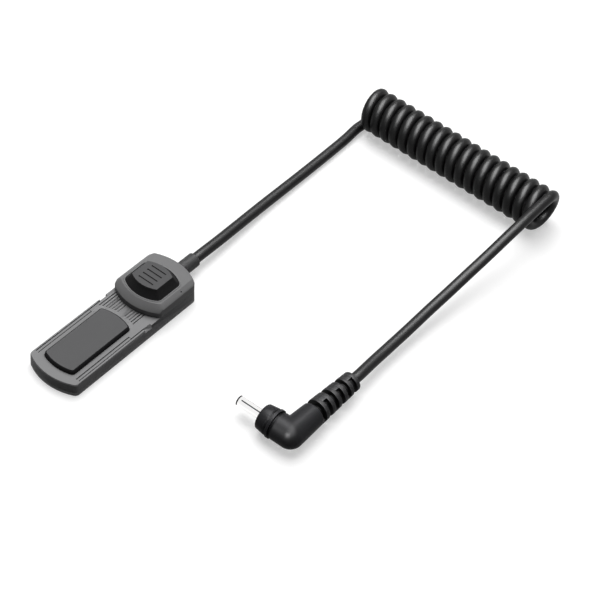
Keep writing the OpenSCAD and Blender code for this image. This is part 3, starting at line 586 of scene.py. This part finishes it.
# Height and overhang of each level: the hollow underside, the flange, the wall, the top's edge
button_levels = [(10.6, -3.29), (9.0, -1.39), (7.1, -1.39), (7.1, 0.6), (7.6, 0.6), (7.6, 0.0)]
button_levels += [(9.2 + 2.55 * t, -1.88 * t - 0.5 * t * (1 - t)) for t in (k / 6 for k in range(7))]
button_levels += [(11.87, -1.93), (11.95, -2.0), (button_top, -2.12), (button_top, -2.4)]
button_mesh = stacked(
    "rear_button_dressed",
    [(z, bowed_outline(button_front - out, button_rear + out, button_width + 2 * out, button_bow + out,
                       max(button_corner + out, least_corner))) for z, out in button_levels],
    posts=[(17.4, 2.0, 6.6, 10.7)])
grips = NodeTree("grip_grooves", {
    "Grooves": 4, "Pitch": 2.0, "Groove width": 0.5, "Groove length": 6.0, "Groove depth": 0.3,
    "First x": 14.4, "Top": button_top}, button_plastic)
groove_bar = grips.node("GeometryNodeMeshCube", {"Size": grips.vector(
    grips.size("Groove width"), grips.size("Groove length"),
    grips.maths("MULTIPLY", grips.size("Groove depth"), 2.0))}).outputs["Mesh"]
groove_row = grips.node("GeometryNodeMeshLine", {
    "Count": grips.size("Grooves"), "Offset": grips.vector(grips.size("Pitch")),
    "Start Location": grips.vector(grips.size("First x"), z=grips.size("Top"))}).outputs[0]
groove_bars = grips.node("GeometryNodeRealizeInstances", {0: grips.node("GeometryNodeInstanceOnPoints", {
    "Points": groove_row, "Instance": groove_bar}).outputs[0]}).outputs[0]
button_in_mm = grips.node("GeometryNodeTransform", {
    "Geometry": grips.start.outputs[0], "Scale": (1 / mm, 1 / mm, 1 / mm)}).outputs[0]
grips.finished("rear_button_dressed", grips.cut(button_in_mm, groove_bars), button_mesh,
               "button", "rear_button")


# Inside of the casing
# A rubber gasket on the cover, the circuit board with its three push switches and their pale
# plungers, the steel clip on the lead's collar, and the two wires from the lead to the board.
inside = [
    ("gasket_rubber", (0.015, 0.015, 0.016), 0.8, 0.0, {"gasket": "casing"}),
    ("board", (0.03, 0.16, 0.07), 0.35, 0.0, {"circuit_board": "casing"}),
    ("switch_plastic", (0.03, 0.03, 0.03), 0.5, 0.0,
     {"front_switch": "casing", "middle_switch": "casing", "rear_switch": "casing"}),
    ("plunger_plastic", (0.62, 0.57, 0.46), 0.45, 0.0,
     {"front_plunger": "front_push", "middle_plunger": "middle_push", "rear_plunger": "rear_push"}),
    ("steel", (0.55, 0.55, 0.56), 0.3, 1.0, {"cord_clip": "casing"}),
    ("wire_red", (0.45, 0.03, 0.02), 0.35, 0.0, {"signal_wire": "casing"}),
    ("wire_black", (0.02, 0.02, 0.02), 0.35, 0.0, {"ground_wire": "casing"}),
]
for slot, tone, roughness, metal, bodies in inside:
    # Their edges are lightened a little, as a painted highlight
    inside_finish = moulded_finish(slot + "_inside", tone, roughness, metallic=metal, grain_height=0.008)
    for node, body in bodies.items():
        softened(node, 0.04, material=inside_finish, body=body)


# Strain relief sleeve
# The soft rubber sleeve round the lead where it leaves the casing, seated in the hole of the rear
# wall.
# Its edges are lightened a little, as a painted highlight
sleeve_rubber = moulded_finish("sleeve_rubber", (0.045, 0.045, 0.046), 0.5, grains=8, grain_height=0.01,
                               cloud=0.1, specular=0.05)
sleeve = softened("strain_relief", 0.15, segments=3, material=sleeve_rubber)


# Plug
# Right-angle barrel plug, moulded in satin black round its lead: an elbow with a ring between two
# grooves, a round head, a ribbed relief, and a bright nickel barrel with a seam and a black tip ring.
# Painted highlights lighten the edges of ring, head and elbow, and painted shade darkens their grooves
plug_black = moulded_finish("plug_black", (0.024, 0.024, 0.026), 0.42, grains=8, grain_height=0.006,
                            cloud=0.12, edge=4.5, edge_width=0.28, edge_share=0.9, specular=0.025, crevice=1.4,
                            darkest=0.02, closed=0.6, opened=0.88)
elbow_angle = math.radians(93)
tip_out = Vector((math.cos(plug_turn + elbow_angle), math.sin(plug_turn + elbow_angle), 0))


def turned(name, profile, start, along, sides=96, furrow=((), 0, 0, 0.0)):
    """A mesh turned round an axis from (distance, radius) pairs in mm, closed at both ends.

    A furrow (sides, first point, last point, depth) is sunk along some sides of the profile."""
    across = along.cross(up)
    furrow_sides, furrow_first, furrow_last, furrow_depth = furrow
    work = bmesh.new()
    rings = []
    for step, (distance, radius) in enumerate(profile):
        ring = []
        for k in range(sides):
            t = 2 * math.pi * k / sides
            sunk = k in furrow_sides and furrow_first <= step <= furrow_last
            reach = radius - (furrow_depth if sunk else 0)
            spot = start + distance * along + reach * (math.cos(t) * across + math.sin(t) * up)
            ring.append(work.verts.new(spot * mm))
        rings.append(ring)
    skinned(work, rings)
    return mesh_from(name, work)


def rounded_step(distance, inner, outer, radius, rising, steps=4):
    """Points round the outside corner of a step from one radius to another."""
    arc = [(distance + radius * (1 - math.cos(t)), outer - radius * (1 - math.sin(t)))
           for t in (math.pi / 2 * k / steps for k in range(steps + 1))]
    step = [(distance, inner), *arc]
    return step if rising else [(2 * distance - d, r) for d, r in reversed(step)]


# Elbow: both legs and the ball between them, melted into one skin
elbow_r = 4.6
ball = bmesh.new()
bmesh.ops.create_uvsphere(ball, u_segments=64, v_segments=32, radius=elbow_r * mm,
                          matrix=Matrix.Translation(plug_at * mm))
barrel_leg = [(0.0, elbow_r), (4.42, elbow_r), (4.5, 4.52), (4.5, 4.1)]
lead_leg = [(0.0, elbow_r), (relief_from - 0.25, 4.08), (relief_from - 0.07, 4.0), (relief_from, 3.85)]
elbow_parts = [mesh_from("elbow_ball", ball), turned("elbow_barrel_leg", barrel_leg, plug_at, tip_out),
               turned("elbow_lead_leg", lead_leg, plug_at, plug_out)]
elbow_work = bmesh.new()
for mesh in elbow_parts:
    elbow_work.from_mesh(mesh)
elbow_mould = placed("elbow_mould", mesh_from("elbow_mould", elbow_work))
melt = elbow_mould.modifiers.new("melt", "REMESH")
melt.mode = "VOXEL"
melt.voxel_size = 0.14 * mm
ease = elbow_mould.modifiers.new("ease", "SMOOTH")
ease.factor = 0.5
ease.iterations = 4
elbow_mesh = plain_mesh(elbow_mould)
bpy.data.objects.remove(elbow_mould)
elbow = shown("plug_body_dressed", elbow_mesh, plug_black, "plug_body", sharp=180)

# Ring: a bead between the groove at the elbow and the groove at the head
groove_r = 4.15
ring_r = 4.88
ring_profile = [(4.0, groove_r), (4.5, groove_r), (5.35, groove_r),
                *rounded_step(5.35, groove_r, ring_r, 0.07, True)[1:],
                *rounded_step(6.2, groove_r, ring_r, 0.07, False)]
ring = shown("plug_ring", turned("plug_ring", ring_profile, plug_at, tip_out), plug_black,
             "plug_body")

# Head: a short cone with a rounded face
head_profile = [(6.22, 3.0), (6.22, 4.2), *rounded_step(7.05, 4.2, 4.6, 0.06, True)[1:], (10.0, 4.22),
                (10.2, 4.14), (10.34, 4.0), (10.4, 3.8), (10.4, 1.6)]
head = shown("plug_head_dressed", turned("plug_head_dressed", head_profile, plug_at, tip_out), plug_black,
             "plug_head")

# Relief: rounded ribs in a row on a thin core, with a short bridge above or below between each pair
# Painted highlights lighten the rims of the ribs, and painted shade darkens the slots between them
relief_rubber = moulded_finish("relief_rubber", (0.022, 0.022, 0.023), 0.5, grains=9, grain_height=0.008,
                               cloud=0.12, specular=0.05, edge=6.0, edge_width=0.3, edge_share=0.9,
                               crevice=2.4, darkest=0.02, closed=0.6, opened=0.86)
ribs = NodeTree("ribbed_relief", {
    "Gap": 1.7, "Pitch": 3.0, "Ribs": 6, "Start radius": 4.1, "Taper": 0.0442, "Core radius": 2.1,
    "Rounding": 0.08, "Bridge half angle": math.radians(38), "Bridge turn": math.radians(-30),
    "Length": relief_len}, relief_rubber)
rib_width = ribs.maths("SUBTRACT", ribs.size("Pitch"), ribs.size("Gap"))
wall = ribs.maths("SUBTRACT", ribs.size("Start radius"), ribs.size("Core radius"))
middle_radius = ribs.maths("SUBTRACT", ribs.size("Start radius"), ribs.maths("MULTIPLY", wall, 0.5))


def swept_bar(rail, along_width, edge):
    """A bar of rounded section, as wide as given along the lead, swept on a rail round it."""
    section = ribs.node("GeometryNodeCurvePrimitiveQuadrilateral", {"Width": wall, "Height": along_width})
    corners = ribs.node("GeometryNodeFilletCurve", {
        "Curve": section.outputs["Curve"], "Radius": edge, "Count": 3, "Limit Radius": True}, mode="POLY")
    return ribs.node("GeometryNodeCurveToMesh", {
        "Curve": rail, "Profile Curve": corners.outputs["Curve"], "Fill Caps": True}).outputs["Mesh"]


def across_lead(geometry):
    """From the flat of the tree round to the lead's own direction."""
    return ribs.node("GeometryNodeTransform", {
        "Geometry": geometry, "Rotation": (0, math.pi / 2, 0)}).outputs[0]


full_turn = ribs.node("GeometryNodeCurvePrimitiveCircle", {"Resolution": 72, "Radius": middle_radius})
rib = across_lead(swept_bar(full_turn.outputs["Curve"], rib_width, ribs.size("Rounding")))
part_turn = ribs.node("GeometryNodeCurveArc", {
    "Resolution": 20, "Radius": middle_radius,
    "Start Angle": ribs.maths("MULTIPLY", ribs.size("Bridge half angle"), -1.0),
    "Sweep Angle": ribs.maths("MULTIPLY", ribs.size("Bridge half angle"), 2.0)})
bridge_width = ribs.maths("ADD", ribs.size("Gap"), ribs.size("Rounding"))
bridge = across_lead(swept_bar(part_turn.outputs["Curve"], bridge_width, 0.02))
rib_first = ribs.maths("ADD", ribs.size("Gap"), ribs.maths("MULTIPLY", rib_width, 0.5))
bridge_first = ribs.maths("MULTIPLY", ribs.size("Gap"), 0.5)
number = ribs.node("GeometryNodeInputIndex").outputs[0]


def shrunk_along(first):
    """The size of copy number n beside the first rib, as the relief tapers."""
    reach = ribs.maths("ADD", first, ribs.maths("MULTIPLY", number, ribs.size("Pitch")))
    lost = ribs.maths("DIVIDE", ribs.maths("MULTIPLY", reach, ribs.size("Taper")), ribs.size("Start radius"))
    kept = ribs.maths("SUBTRACT", 1.0, lost)
    return ribs.vector(1.0, kept, kept)


def row(first):
    """One point for each rib, from the first place on."""
    return ribs.node("GeometryNodeMeshLine", {
        "Count": ribs.size("Ribs"), "Start Location": ribs.vector(first),
        "Offset": ribs.vector(ribs.size("Pitch"))}).outputs[0]


rib_copies = ribs.node("GeometryNodeInstanceOnPoints", {
    "Points": row(rib_first), "Instance": rib, "Scale": shrunk_along(rib_first)}).outputs[0]
# Even gaps are bridged below, odd ones above, both turned a little from upright
half_turns = ribs.maths("ADD", ribs.maths("MULTIPLY", ribs.maths("MODULO", number, 2.0), math.pi),
                        ribs.size("Bridge turn"))
bridge_copies = ribs.node("GeometryNodeInstanceOnPoints", {
    "Points": row(bridge_first), "Instance": bridge, "Rotation": ribs.vector(half_turns),
    "Scale": shrunk_along(bridge_first)}).outputs[0]
core = ribs.node("GeometryNodeMeshCylinder", {
    "Vertices": 48, "Radius": ribs.size("Core radius"), "Depth": ribs.size("Length")})
core_laid = ribs.node("GeometryNodeTransform", {
    "Geometry": core.outputs["Mesh"], "Rotation": (0, math.pi / 2, 0),
    "Translation": ribs.vector(ribs.maths("MULTIPLY", ribs.size("Length"), 0.5))}).outputs[0]
relief = ribs.finished("plug_relief_dressed", ribs.joined(rib_copies, bridge_copies, core_laid), [(0, 0, 0)],
                       "casing", "plug_relief",
                       place=plug_at + relief_from * plug_out, turn=plug_turn)

# Barrel: rolled from nickel-plated sheet, so that a seam runs along it over the black sleeve inside
nickel = moulded_finish("nickel", (0.9, 0.895, 0.89), 0.12, grains=5, grain_height=0.0, metallic=1.0,
                        cloud=0.02, edge=1.0)
barrel_sides = 144
seam_side = 45
seam_depth = 0.16
barrel_profile = [(8.05, 1.4), (8.05, 1.6), (10.38, 1.6), (10.38, 1.75), (10.42, 1.75), (18.2, 1.75),
                  (18.22, 1.75), (19.0, 1.75), (19.05, 1.74), (19.1, 1.7), (19.1, 1.4), (8.06, 1.4)]
barrel_mesh = turned("plug_barrel_dressed", barrel_profile, plug_at, tip_out, sides=barrel_sides,
                     furrow=(range(seam_side - 2, seam_side + 2), 3, 5, seam_depth))
barrel = shown("plug_barrel_dressed", barrel_mesh, nickel, "plug_barrel")
strip_size = (7.6, 0.3, 0.14)
strip_middle = 14.4
strip_r = 1.68
seam_turn = 2 * math.pi * seam_side / barrel_sides
seam_away = math.cos(seam_turn) * tip_out.cross(up) + math.sin(seam_turn) * up
seam_frame = Matrix((tip_out, seam_away.cross(tip_out), seam_away)).transposed().to_4x4()
strip = bmesh.new()
bmesh.ops.create_cube(strip, size=1.0, matrix=Matrix.Diagonal((*strip_size, 1.0)))
strip_mesh = mesh_from("barrel_seam", strip)
strip_mesh.transform(Matrix.Scale(mm, 4)
                     @ Matrix.Translation(plug_at + strip_middle * tip_out + strip_r * seam_away) @ seam_frame)
seam = shown("barrel_seam", strip_mesh, plug_black, "plug_insulator")
tip_ring = softened("plug_insulator", 0.05, material=plug_black)
# Its edges are lightened a little, as a painted highlight
brass = moulded_finish("brass", (0.78, 0.60, 0.32), 0.25, metallic=1.0, grain_height=0.003)
contact = softened("plug_contact", 0.03, material=brass)


# Table and light
# A white table top that keeps the soft shadow, a softbox overhead behind the object, a weak one at
# the right, two reflectors that draw the streaks on the lead and the plug, and a dim room.
def seen_or_mirrored(tree):
    """1 for what is seen straight, in a mirror or through glass, 0 for light that is scattered."""
    path = tree.nodes.new("ShaderNodeLightPath")
    return math_node(tree, "MAXIMUM", path.outputs["Is Camera Ray"],
                     math_node(tree, "MAXIMUM", path.outputs["Is Glossy Ray"],
                               path.outputs["Is Transmission Ray"]))


def mixed_shader(tree, factor, first, second):
    """From the first shader to the second as the factor goes from 0 to 1."""
    mix = tree.nodes.new("ShaderNodeMixShader")
    for socket, output in zip(mix.inputs, (factor, first, second)):
        tree.links.new(output, socket)
    return mix.outputs[0]


table_half = 3.0
below_object = 0.00002
paper_tone = 0.6
paper_glow = 0.46
scatter_tone = 0.06
fade_from = 0.3
fade_to = 0.9
floor_mesh = bpy.data.meshes.new("table_top")
floor_mesh.from_pydata([(x * table_half, y * table_half, -below_object)
                        for x, y in ((-1, -1), (1, -1), (1, 1), (-1, 1))], [], [(0, 1, 2, 3)])
floor = placed("table_top", floor_mesh)
table_white = bpy.data.materials.new("table_white")
table_white.use_nodes = True
table_tree = table_white.node_tree
table_tree.nodes.remove(table_tree.nodes["Principled BSDF"])
paper = table_tree.nodes.new("ShaderNodeBsdfDiffuse")
paper.inputs["Color"].default_value = (paper_tone, paper_tone, paper_tone, 1)
glow = table_tree.nodes.new("ShaderNodeEmission")
glow.inputs["Strength"].default_value = paper_glow
bright = table_tree.nodes.new("ShaderNodeAddShader")
table_tree.links.new(paper.outputs[0], bright.inputs[0])
table_tree.links.new(glow.outputs[0], bright.inputs[1])
dull = table_tree.nodes.new("ShaderNodeBsdfDiffuse")
dull.inputs["Color"].default_value = (scatter_tone, scatter_tone, scatter_tone, 1)
# Away from the object the table is lost in white, and from below it is left out
spot = table_tree.nodes.new("ShaderNodeTexCoord")
away = table_tree.nodes.new("ShaderNodeVectorMath")
away.operation = "LENGTH"
table_tree.links.new(spot.outputs["Object"], away.inputs[0])
lost = table_tree.nodes.new("ShaderNodeMapRange")
lost.inputs["From Min"].default_value = fade_from
lost.inputs["From Max"].default_value = fade_to
table_tree.links.new(away.outputs["Value"], lost.inputs["Value"])
plain_white = table_tree.nodes.new("ShaderNodeEmission")
side = table_tree.nodes.new("ShaderNodeNewGeometry")
clear = table_tree.nodes.new("ShaderNodeBsdfTransparent")
faded = mixed_shader(table_tree, lost.outputs["Result"], bright.outputs[0], plain_white.outputs[0])
from_above = mixed_shader(table_tree, seen_or_mirrored(table_tree), dull.outputs[0], faded)
table_tree.links.new(mixed_shader(table_tree, side.outputs["Backfacing"], from_above, clear.outputs[0]),
                     table_tree.nodes["Material Output"].inputs["Surface"])
floor_mesh.materials.append(table_white)

room_light = 0.04
world = bpy.data.worlds.new("room")
bpy.context.scene.world = world
world.use_nodes = True
room_tree = world.node_tree
room = room_tree.nodes["Background"]
room.inputs["Color"].default_value = (1, 1, 1, 1)
room.inputs["Strength"].default_value = room_light
white = room_tree.nodes.new("ShaderNodeBackground")
white.inputs["Color"].default_value = (1, 1, 1, 1)
room_tree.links.new(mixed_shader(room_tree, seen_or_mirrored(room_tree), room.outputs[0], white.outputs[0]),
                    room_tree.nodes["World Output"].inputs["Surface"])


def softbox(name, place, target, size, power, streaked=(), mirrored=True):
    """A lamp with its places and sizes in metres. With streaked, it only draws streaks on those pieces."""
    lamp_data = bpy.data.lights.new(name, "AREA")
    lamp_data.shape = "RECTANGLE"
    lamp_data.size, lamp_data.size_y = size
    lamp_data.energy = power
    lamp = placed(name, lamp_data)
    facing = Vector(target) - Vector(place)
    lamp.matrix_world = (Matrix.Translation(Vector(place))
                         @ facing.to_track_quat("-Z", "Y").to_matrix().to_4x4())
    lamp.visible_glossy = mirrored
    if streaked:
        lamp.visible_diffuse = False
        group = bpy.data.collections.new(name + "_streaks")
        for piece in streaked:
            group.objects.link(piece)
        lamp.light_linking.receiver_collection = group


softbox("overhead", (0.36, 0.27, 1.05), (0.05, -0.03, 0), (1.15, 1.15), 20.0, mirrored=False)
softbox("right_fill", (0.25, -1.0, 0.6), (0, 0, 0), (0.6, 0.6), 2.0, mirrored=False)
softbox("wide_reflector", (0.04, -0.1, 0.95), (0.1, -0.04, 0), (0.85, 1.5), 180.0,
        streaked=[lead, elbow, ring, head, relief, sleeve])
softbox("left_reflector", (-0.41, -0.13, 0.33), (0, -0.07, 0), (0.2, 0.2), 38.0, streaked=[elbow])
